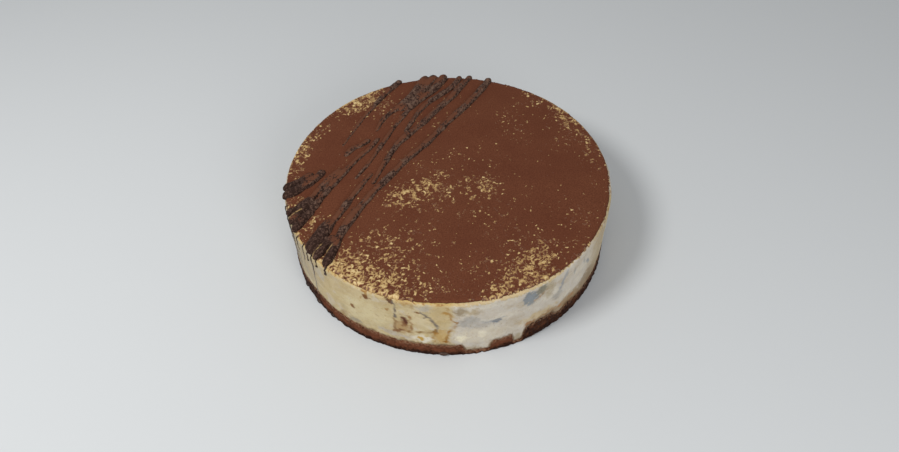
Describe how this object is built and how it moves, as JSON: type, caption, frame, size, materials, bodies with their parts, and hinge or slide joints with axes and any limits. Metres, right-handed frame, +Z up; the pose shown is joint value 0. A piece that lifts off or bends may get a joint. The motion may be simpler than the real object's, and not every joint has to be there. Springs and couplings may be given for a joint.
{
  "type": "tiramisu cake",
  "caption": "Round uncut tiramisu cake: soaked sponge base, thick mascarpone cream, and a cocoa-dusted top crossed by chocolate strands that droop over the rim.",
  "frame": {"origin": "centre of the flat underside of the sponge", "axes": "+Z up, out of the cocoa top; -Y towards the front, where the wall is seen in the picture; +X to the right, away from the chocolate strands"},
  "size_m": [0.2424, 0.2429, 0.0624],
  "materials": {
    "sponge": "moist dark brown sponge",
    "cream": "smooth ivory cream, marbled with grey and tan",
    "cocoa": "dry matt cocoa powder with flecks of cream showing through",
    "chocolate": "dark rough chocolate, dusted grey-brown"
  },
  "bodies": {
    "root": {"sponge_base": "sponge", "mascarpone_cream": "cream", "cocoa_top": "cocoa"}
  },
  "joints": []
}
